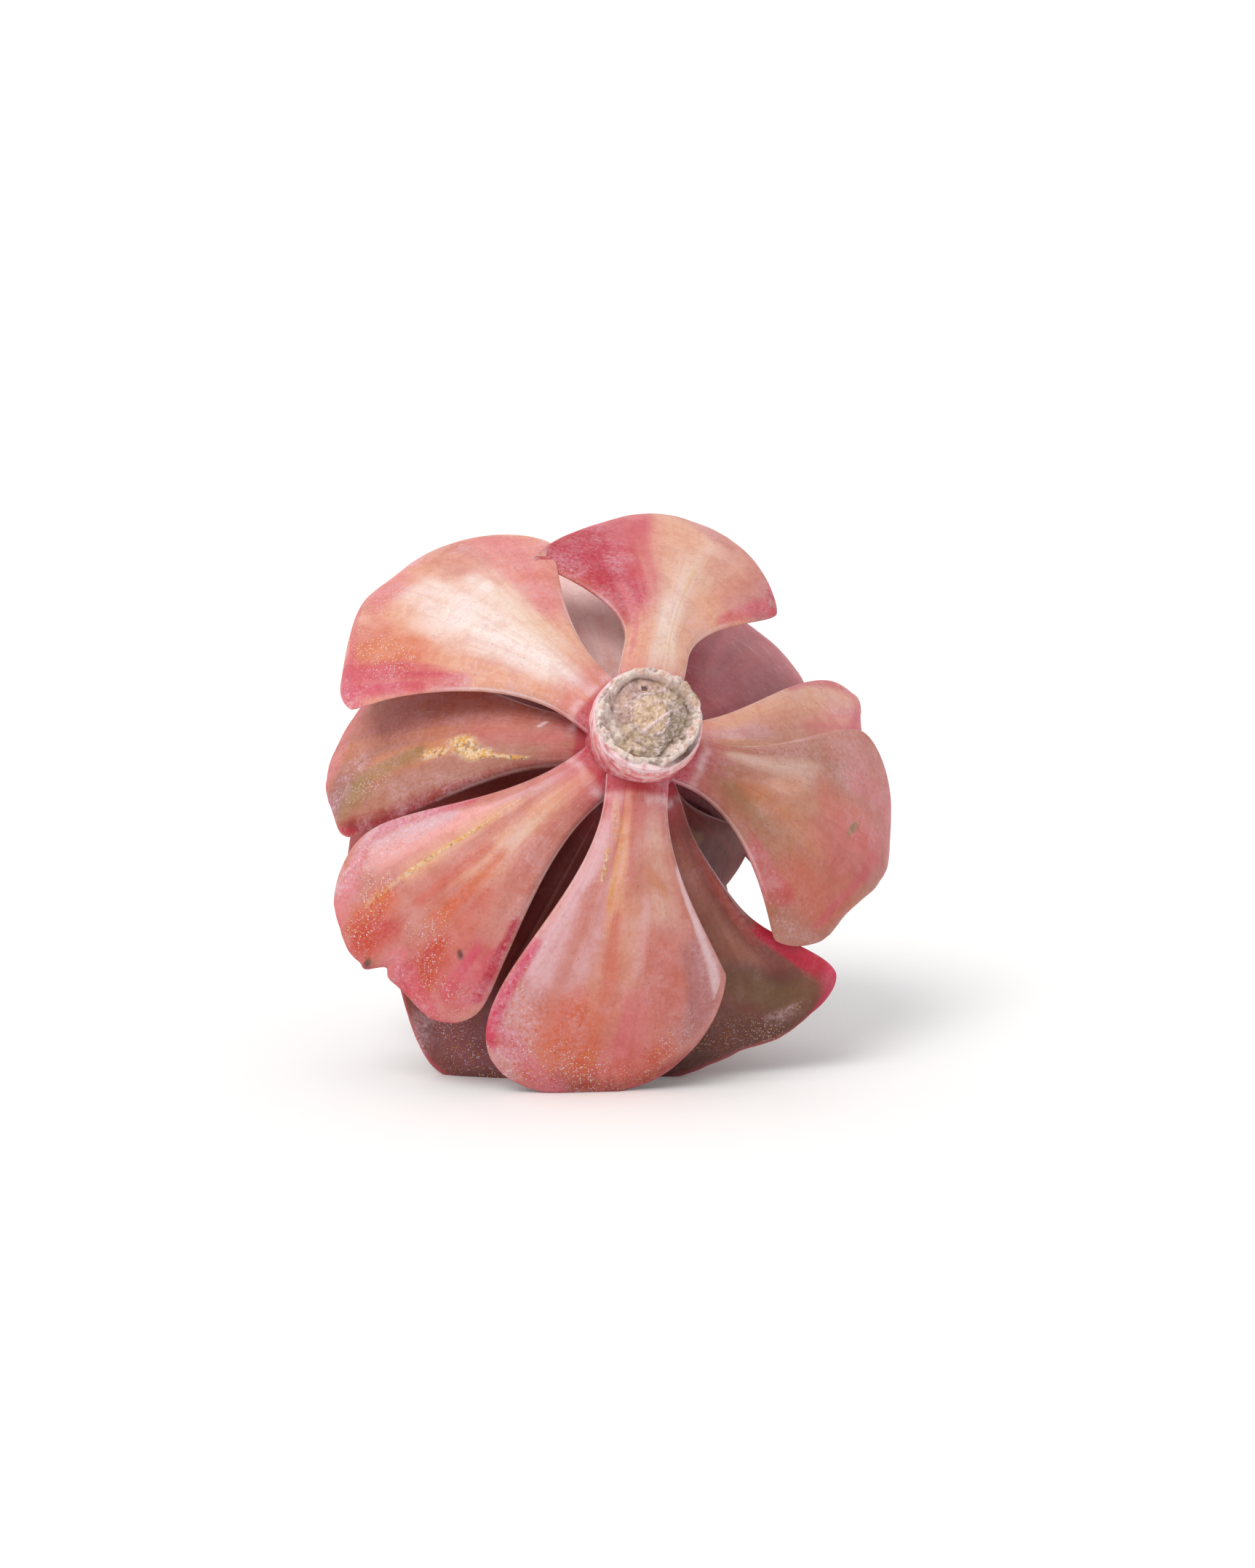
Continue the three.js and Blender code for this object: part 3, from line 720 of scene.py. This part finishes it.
class Nodes:
    """A material's node tree, built by short calls. A scale given with a place is per metre."""

    def __init__(self, name):
        self.material = bpy.data.materials.new(name)
        self.material.use_nodes = True
        self.tree = self.material.node_tree
        self.shader = self.tree.nodes["Principled BSDF"]

    def add(self, kind, inputs=None, **settings):
        node = self.tree.nodes.new(kind)
        for key, value in settings.items():
            setattr(node, key, value)
        for key, value in (inputs or {}).items():
            self.feed(node.inputs[key], value)
        return node

    def feed(self, socket, value):
        if isinstance(value, bpy.types.NodeSocket):
            self.tree.links.new(value, socket)
        else:
            socket.default_value = value

    def attribute(self, name):
        node = self.add("ShaderNodeAttribute", attribute_name=name)
        return node.outputs["Color"] if name == "paint" else node.outputs["Fac"]

    def maths(self, operation, a, b):
        return self.add("ShaderNodeMath", {0: a, 1: b}, operation=operation).outputs[0]

    def ramp(self, value, low, high):
        node = self.add("ShaderNodeMapRange", {"Value": value, "From Min": low, "From Max": high})
        node.interpolation_type = "SMOOTHSTEP"
        return node.outputs["Result"]

    def mix(self, factor, a, b, blend="MIX"):
        node = self.add("ShaderNodeMix", data_type="RGBA", blend_type=blend)
        self.feed(node.inputs[0], factor)
        self.feed(node.inputs[6], a)
        self.feed(node.inputs[7], b)
        return node.outputs[2]

    def noise(self, vector, scale, detail=3.0, roughness=0.55, distortion=0.0):
        inputs = {"Vector": vector, "Scale": scale, "Detail": detail, "Roughness": roughness}
        inputs["Distortion"] = distortion
        return self.add("ShaderNodeTexNoise", inputs).outputs["Fac"]

    def voronoi(self, vector, scale, feature="F1"):
        return self.add("ShaderNodeTexVoronoi", {"Vector": vector, "Scale": scale}, feature=feature)

    def times(self, a, b):
        return self.maths("MULTIPLY", a, b)

    def cover(self, colour, share, strength, over):
        """A colour with another over it, where share says, at most as strong as strength."""
        return self.mix(self.times(share, strength), colour, over)

    def flesh(self, scatter, depth, radius):
        """Light that goes a little way into watery tissue."""
        self.shader.inputs["Specular IOR Level"].default_value = 0.35
        self.shader.inputs["Subsurface Weight"].default_value = scatter
        self.shader.inputs["Subsurface Radius"].default_value = radius
        self.shader.inputs["Subsurface Scale"].default_value = depth

    def bump(self, height, strength, distance, normal=None):
        inputs = {"Height": height, "Strength": strength, "Distance": distance}
        node = self.add("ShaderNodeBump", inputs)
        if normal is not None:
            self.feed(node.inputs["Normal"], normal)
        return node.outputs["Normal"]


def rgba(name):
    return (*COLOURS[name], 1.0)


def leaf_material(name):
    """Leaf skin: the painted colours, broken up by fibres, mottling, bloom, specks and dry crust."""
    n = Nodes(name)
    place = n.add("ShaderNodeTexCoord").outputs["Object"]
    blade = n.add("ShaderNodeUVMap", uv_map="leaf").outputs["UV"]
    paint = n.attribute("paint")
    bloom = n.attribute("bloom")
    specks = n.attribute("specks")
    crust = n.attribute("crust")

    fibres = n.add("ShaderNodeMapping", {"Vector": blade, "Scale": (30.0, 4.0, 1.0)}).outputs["Vector"]
    streak = n.noise(fibres, 1.0, detail=6, roughness=0.62, distortion=0.4)
    mottle = n.noise(place, 260.0, detail=7, roughness=0.78, distortion=0.3)
    blotch = n.noise(place, 90.0, detail=5, roughness=0.65, distortion=0.6)
    grain = n.noise(place, 1600.0, detail=3, roughness=0.6)
    powder = n.noise(place, 1400.0, detail=4, roughness=0.7)

    # fine fibres and watery mottling, darker and lighter than the skin round them
    deeper = n.mix(1.0, paint, (0.86, 0.68, 0.64, 1.0), "MULTIPLY")
    paler = n.mix(0.55, paint, rgba("pale"))
    colour = n.cover(paint, n.ramp(streak, 0.5, 0.68), 0.5, deeper)
    colour = n.cover(colour, n.ramp(blotch, 0.52, 0.66), 0.45, deeper)
    colour = n.cover(colour, n.ramp(mottle, 0.5, 0.6), 0.55, deeper)
    colour = n.cover(colour, n.ramp(powder, 0.52, 0.64), 0.4, deeper)
    light = n.times(n.ramp(mottle, 0.48, 0.36), n.maths("ADD", 0.15, bloom))
    colour = n.cover(colour, light, 0.6, paler)

    # the waxy bloom, powdery and rubbed off in patches
    veil = n.times(bloom, n.ramp(blotch, 0.62, 0.4))
    veil = n.times(veil, n.ramp(grain, 0.3, 0.62))
    colour = n.cover(colour, veil, 0.55, rgba("lilac"))
    dust = n.times(n.ramp(powder, 0.44, 0.34), n.times(bloom, bloom))
    colour = n.cover(colour, dust, 0.5, rgba("rim"))

    # pale specks and golden freckles
    cells = n.voronoi(place, 3000.0)
    chance = n.add("ShaderNodeSeparateColor", {0: cells.outputs["Color"]})
    dots = n.times(n.ramp(cells.outputs["Distance"], 0.5, 0.25), n.ramp(chance.outputs[0], 0.3, 0.45))
    dots = n.times(dots, n.times(specks, n.ramp(mottle, 0.4, 0.5)))
    dot_colour = n.mix(n.ramp(chance.outputs[1], 0.35, 0.65), rgba("rim"), rgba("gold"))
    colour = n.cover(colour, dots, 0.75, dot_colour)

    # sparse dark pores
    pits = n.voronoi(place, 420.0)
    pores = n.ramp(pits.outputs["Distance"], 0.1, 0.04)
    colour = n.cover(colour, pores, 0.3, rgba("umber"))

    # dry glittering crust
    flakes = n.noise(place, 1100.0, detail=4, roughness=0.75)
    crusted = n.times(crust, n.ramp(flakes, 0.34, 0.46))
    flake_colour = n.mix(n.ramp(grain, 0.42, 0.55), rgba("gold"), rgba("straw"))
    flake_colour = n.mix(n.ramp(flakes, 0.46, 0.38), flake_colour, rgba("bark"))
    colour = n.mix(crusted, colour, flake_colour)

    n.feed(n.shader.inputs["Base Color"], colour)
    roughness = n.maths("ADD", 0.4, n.times(veil, 0.3))
    roughness = n.maths("ADD", roughness, n.times(mottle, 0.15))
    n.feed(n.shader.inputs["Roughness"], roughness)
    n.flesh(0.15, 0.0025, (1.0, 0.35, 0.25))
    relief = n.bump(blotch, 0.3, 0.0006)
    relief = n.bump(streak, 0.25, 0.0005, relief)
    relief = n.bump(mottle, 0.3, 0.0003, relief)
    relief = n.bump(grain, 0.25, 0.0001, relief)
    relief = n.bump(n.maths("ADD", dots, n.times(crusted, 2.0)), 0.5, 0.00015, relief)
    n.feed(n.shader.inputs["Normal"], relief)
    return n.material


# ---------------------------------------------------------------------------------------------------
# Building the pieces

outer_material = leaf_material("outer_leaf_skin")
inner_material = leaf_material("inner_leaf_skin")


def build_leaf(order):
    """One leaf, counted in the spiral from the cut upwards."""
    is_outer = order < len(OUTER_LEAVES)
    leaf = {**LEAF_DEFAULTS, **(OUTER_LEAVES[order] if is_outer else inner_leaf(order))}
    look = LOOKS[order] if is_outer else INNER_LOOK
    along, across, face, faces = leaf_grid(*(OUTER_LEAF_GRID if is_outer else INNER_LEAF_GRID))
    noise = Noise(100 + order)
    points = leaf_points(leaf, along, across, face, noise)
    name = f"leaf_{order + 1:02d}"
    mesh = mesh_object(f"skin_{name}", points, faces, name).data
    # no point goes through the surface that the rosette lies on
    places = np.zeros(len(points) * 3, np.float32)
    mesh.vertices.foreach_get("co", places)
    places[2::3] = np.maximum(places[2::3], 0)
    mesh.vertices.foreach_set("co", places)
    colours, masks = paint_leaf(look, along, across, face, noise)
    add_colour(mesh, "paint", colours)
    for mask, values in masks.items():
        add_value(mesh, mask, values)
    corners = np.zeros(len(mesh.loops), np.int32)
    mesh.loops.foreach_get("vertex_index", corners)
    flat = np.stack([across * 0.5 + 0.5 + order * 3.7, along], -1)[corners]
    mesh.uv_layers.new(name="leaf").data.foreach_set("uv", flat.astype(np.float32).ravel())
    mesh.materials.append(outer_material if is_outer else inner_material)


for leaf_order in range(LEAF_COUNT):
    build_leaf(leaf_order)


# The cut's dried rim, going round: angle, radius and height above the collar, in degrees and mm.
CUT_RIM = (
    (0, 8.6, 1.1), (18, 9.0, 0.8), (34, 9.2, 1.0), (60, 8.7, 0.7), (93, 8.7, 0.4), (110, 8.4, 0.3),
    (128, 8.0, 0.4), (150, 8.0, 0.8), (168, 8.4, 1.0), (186, 8.4, 0.9), (205, 8.2, 0.6), (222, 7.8, 0.4),
    (246, 7.9, 0.5), (264, 7.3, 0.3), (280, 8.0, 0.7), (300, 7.6, 1.1), (322, 7.5, 1.3), (345, 8.1, 1.3),
)
CUT_SUNK = 1.0
CUT_EDGE = 9.0
SPLIT_TURN = 312  # where the rim has split away from the stem, in degrees
PITH = (0.5, 1.2, 3.3, 3.7)  # middle and half sizes of the pith


def ridge_line(x, y, start, end, width):
    """Nearness to a straight ridge on the cut, 0 to 1."""
    span = np.array(end) - np.array(start)
    share = np.clip(((x - start[0]) * span[0] + (y - start[1]) * span[1]) / (span @ span), 0, 1)
    distance = np.hypot(x - start[0] - share * span[0], y - start[1] - share * span[1])
    return bell(distance, 0, width)


def rim_at(angle, column):
    """A column of CUT_RIM at each angle."""
    table = np.array(CUT_RIM)
    return np.interp(np.degrees(angle) % 360, table[:, 0], table[:, column], period=360)


def cut_surface(radius, angle, noise):
    """Height and colour of the dried cut at each point, given round the stem's axis."""
    x, y = radius * np.cos(angle), radius * np.sin(angle)
    degrees = np.degrees(angle) % 360
    rough = noise(np.cos(angle) * 6 + 9, np.sin(angle) * 6 + 9, 4)
    crumple = noise(x * 0.9 + 3, y * 0.9 + 7, 4)
    crinkle = noise(x * 1.7 + 31, y * 1.7 + 11, 3)
    grain = noise(x * 4 + 13, y * 4 + 1, 3)
    rim_radius = rim_at(angle, 1) + 0.5 * rough
    rim_height = rim_at(angle, 2) * (1 + 0.5 * rough)
    thick = 0.55 + 1.2 * np.clip(rim_height, 0, 1.2) * (1 + 0.4 * crumple)
    outside = radius - rim_radius

    # the sunk face, the crumpled rim round it, and the split outside the rim at the lower right
    on_rim = smoothstep(outside, -1.1 * thick, -0.45 * thick)
    off_rim = 1 - smoothstep(outside, 0, 0.5)
    ridge = 1.15 * rim_height * on_rim * off_rim * (1 + 0.5 * crumple + 0.7 * crinkle)
    sunk = -CUT_SUNK + 0.45 * crumple + 0.22 * crinkle + 0.12 * grain
    inside = 1 - smoothstep(outside, -0.9, 0.1)
    gap = bell(degrees, SPLIT_TURN, 26) * smoothstep(outside, 0.25, 0.6)
    gap = gap * (1 - smoothstep(radius, STEM_RADIUS, CUT_EDGE))
    height = inside * sunk * (1 - 0.4 * on_rim) + ridge - 0.75 * gap

    from_pith = np.hypot((x - PITH[0]) / PITH[2], (y - PITH[1]) / PITH[3]) + 0.09 * crumple
    ring = bell(from_pith, 1, 0.06) * np.clip(0.6 + 0.8 * rough + crinkle, 0, 1)
    fold = ridge_line(x, y, (-0.8, -1.9), (1.4, -0.1), 0.28)
    fold = fold + ridge_line(x, y, (1.4, -0.1), (4.1, 1.6), 0.25)
    pit = (1 - smoothstep(np.abs(x - 0.1), 0.35, 0.6)) * (1 - smoothstep(np.abs(y - 5.9), 0.3, 0.55))
    flap = ridge_line(x, y, (-7.4, 3.0), (-5.4, -2.4), 0.9)
    lip = ridge_line(x, y, (-4.6, -6.6), (-3.4, -4.6), 0.25)
    height = height + 0.25 * ring + 0.36 * fold - 0.55 * pit + 0.35 * flap + 0.5 * lip
    height = height + 0.15 * (1 - smoothstep(from_pith, 0.7, 1.0))

    face_edge = bell(outside, -1.15 * thick, 0.22) * np.clip(0.5 + rough + crumple, 0, 1)
    colours = layered(
        plain("straw", len(radius)),
        ("dry", 0.8 * smoothstep(crumple, -0.2, 0.25)),
        ("grey", 0.25 + 0.5 * smoothstep(x - 0.6 * y + 2.5 * crumple, 0.5, 4)),
        ("pale", 0.4 * smoothstep(-x + y + 3 * crumple, 1, 6)),
        ("peach", 0.3 * (1 - smoothstep(from_pith, 0.75, 1.0))),
        ("straw", 0.7 * (1 - smoothstep(from_pith, 0.75, 1.05))),
        ("bark", 0.5 * bell(from_pith, 1.08, 0.045) * np.clip(0.6 + crinkle, 0, 1)),
        ("rim", 0.8 * np.maximum(ring, fold)),
        ("rim", 0.45 * smoothstep(crinkle, 0.1, 0.5)),
        ("bark", 0.3 * smoothstep(-crinkle, 0.2, 0.55) + 0.8 * pit),
        ("bark", 0.8 * face_edge),
        ("ivory", on_rim * np.clip(1 + crumple, 0.5, 1)),
        ("bark", 0.45 * on_rim * smoothstep(-crumple, 0.15, 0.4)),
        ("peach", 0.5 * on_rim * smoothstep(crumple, 0.1, 0.5)),
        ("ivory", 0.8 * np.maximum(flap, lip)),
        ("olive", 0.45 * bell(degrees, 38, 14) * smoothstep(outside, -1.6, -0.8)),
        ("moss", 0.9 * bell(degrees, 21, 4) * smoothstep(outside, -1.0, -0.3)),
        ("bark", 0.8 * gap),
        ("bark", 0.5 * bell(outside, 0.5, 0.2) * np.clip(0.5 + 1.5 * rough, 0, 1)),
    )
    return height, colours


def collar_colours(angle, depth, noise):
    """Pink skin of the stem below the cut, with its bloom."""
    wander = noise(np.cos(angle) * 5 + 20, np.sin(angle) * 5 + depth * 0.8 + 20, 4)
    powder = noise(np.cos(angle) * 12 + 40, np.sin(angle) * 12 + depth * 2 + 40, 4)
    return layered(
        plain("pink", len(angle)),
        ("blush", 0.8 * smoothstep(wander, -0.4, 0.3)),
        ("rim", 0.6 * smoothstep(powder + 0.5 * wander, -0.1, 0.5)),
        ("rose", 0.5 * smoothstep(-wander - 0.5 * powder, 0.0, 0.5)),
        ("rim", 0.8 * bell(depth + wander, 0.4, 0.5)),
        ("crimson", 0.8 * smoothstep(depth, 5.5, 8)),
    )


def stem_material():
    """The stem: corky and cracked where it has dried, fleshy below."""
    n = Nodes("dried_stem")
    place = n.add("ShaderNodeTexCoord").outputs["Object"]
    paint = n.attribute("paint")
    dry = n.attribute("dry")
    grain = n.noise(place, 1100.0, detail=5, roughness=0.7, distortion=0.5)
    cracks = n.voronoi(place, 700.0, "DISTANCE_TO_EDGE")
    crack = n.times(n.ramp(cracks.outputs["Distance"], 0.12, 0.02), dry)
    deeper = n.mix(1.0, paint, (0.62, 0.55, 0.5, 1.0), "MULTIPLY")
    paler = n.mix(0.5, paint, rgba("rim"))
    colour = n.cover(paint, n.ramp(grain, 0.52, 0.64), 0.45, deeper)
    colour = n.cover(colour, n.ramp(grain, 0.5, 0.4), 0.4, paler)
    colour = n.cover(colour, crack, 0.35, deeper)
    n.feed(n.shader.inputs["Base Color"], colour)
    n.feed(n.shader.inputs["Roughness"], n.maths("ADD", 0.5, n.times(dry, 0.3)))
    n.flesh(0.1, 0.002, (1.0, 0.45, 0.35))
    relief = n.bump(grain, 0.6, 0.00025)
    relief = n.bump(cracks.outputs["Distance"], 0.3, 0.0001, relief)
    n.feed(n.shader.inputs["Normal"], relief)
    return n.material


def build_stem():
    """The dried cut in rings from its middle outwards, then the collar and the hidden stem below it."""
    noise = Noise(7)
    angle = np.arange(STEM_AROUND) * 2 * math.pi / STEM_AROUND
    rings, shades, dryness = [], [], []

    def add_ring(radius, height, colours, dry):
        rings.append(np.stack([radius * np.cos(angle), radius * np.sin(angle), height], -1))
        shades.append(colours)
        dryness.append(dry)

    unsplit = 1 - 0.9 * bell(np.degrees(angle), SPLIT_TURN, 24)
    for radius in np.linspace(0.06, CUT_EDGE, CUT_RINGS):
        height, colours = cut_surface(np.full(STEM_AROUND, radius), angle, noise)
        collar = collar_colours(angle, np.full(STEM_AROUND, 0.3), noise)
        skin = smoothstep(radius - rim_at(angle, 1), 0.35, 0.8) * unsplit
        colours = colours * (1 - skin[:, None]) + collar * skin[:, None]
        add_ring(radius, height, colours, 1 - skin)
    for depth in (*np.linspace(0.15, 5, 36), *np.linspace(5.5, STEM_DEPTH - 0.3, 24)):
        wrinkle = 0.12 * noise(np.cos(angle) * 9 + 50, np.sin(angle) * 9 + depth * 0.3 + 50, 2)
        radius = stem_radius(depth) + wrinkle * (depth < 5)
        depth_here = np.full(STEM_AROUND, depth)
        add_ring(radius, -depth_here, collar_colours(angle, depth_here, noise), depth_here * 0)
    middle = tuple(range(STEM_AROUND))
    last = (len(rings) - 1) * STEM_AROUND
    tip = tuple(reversed(range(last, last + STEM_AROUND)))
    faces = [middle, *ring_faces(len(rings), STEM_AROUND), tip]
    mesh = mesh_object("stem_cut", np.concatenate(rings), faces, "stem").data
    add_colour(mesh, "paint", np.concatenate(shades))
    add_value(mesh, "dry", np.concatenate(dryness))
    mesh.materials.append(stem_material())


build_stem()

# ---------------------------------------------------------------------------------------------------
# Stage, light and camera

WINDOW_STRENGTH = 1.7
WINDOW_ANGLE = 40  # how wide the window looks from the rosette, in degrees
WINDOW_DIRECTION = (0.55, 0.7, -1.1)

# The camera stands in front of the cut, a little above it, and aims low and left of it.
CAMERA_DISTANCE = 0.48
CAMERA_ELEVATION = 7
CAMERA_LENS = 67
CAMERA_AIM = (-3.5, 0, -10.8)  # millimetres from the cut


def build_stage():
    """A wide pale table top."""
    bpy.ops.mesh.primitive_circle_add(vertices=96, radius=4, fill_type="NGON")
    floor = bpy.context.object
    floor.name = "stage"
    n = Nodes("paper")
    n.shader.inputs["Base Color"].default_value = (0.9, 0.9, 0.9, 1)
    n.shader.inputs["Roughness"].default_value = 0.9
    floor.data.materials.append(n.material)


def build_window():
    """Soft warm daylight from the upper left, in front."""
    sun = bpy.data.lights.new("window", "SUN")
    sun.energy = WINDOW_STRENGTH
    sun.angle = math.radians(WINDOW_ANGLE)
    sun.color = (1.0, 0.985, 0.96)
    lamp = add_to_scene("window", sun)
    lamp.rotation_euler = Vector(WINDOW_DIRECTION).to_track_quat("-Z", "Y").to_euler()


def build_room():
    """A white room, a little dimmer on the side where the camera stands."""
    world = bpy.data.worlds.new("room")
    bpy.context.scene.world = world
    world.use_nodes = True
    tree = world.node_tree
    direction = tree.nodes.new("ShaderNodeTexCoord")
    split = tree.nodes.new("ShaderNodeSeparateXYZ")
    tree.links.new(direction.outputs["Generated"], split.inputs[0])
    ramp = tree.nodes.new("ShaderNodeMapRange")
    for end, value in (("From Min", -0.4), ("From Max", 0.5), ("To Min", 0.6), ("To Max", 1.05)):
        ramp.inputs[end].default_value = value
    tree.links.new(split.outputs["Y"], ramp.inputs["Value"])
    background = tree.nodes["Background"]
    tree.links.new(ramp.outputs["Result"], background.inputs["Strength"])
    background.inputs["Color"].default_value = (1, 1, 1, 1)


def build_camera():
    cut = Vector(CUT_PLACE.tolist()) * MM
    aim = cut + Vector(CAMERA_AIM) * MM
    elevation = math.radians(CAMERA_ELEVATION)
    lens = bpy.data.cameras.new("camera")
    lens.lens = CAMERA_LENS
    lens.sensor_width = 36
    camera = add_to_scene("camera", lens)
    camera.location = cut + Vector((0, -math.cos(elevation), math.sin(elevation))) * CAMERA_DISTANCE
    camera.rotation_euler = (aim - camera.location).to_track_quat("-Z", "Y").to_euler()
    bpy.context.scene.camera = camera


build_stage()
build_window()
build_room()
build_camera()
bpy.context.scene.view_settings.view_transform = "Standard"
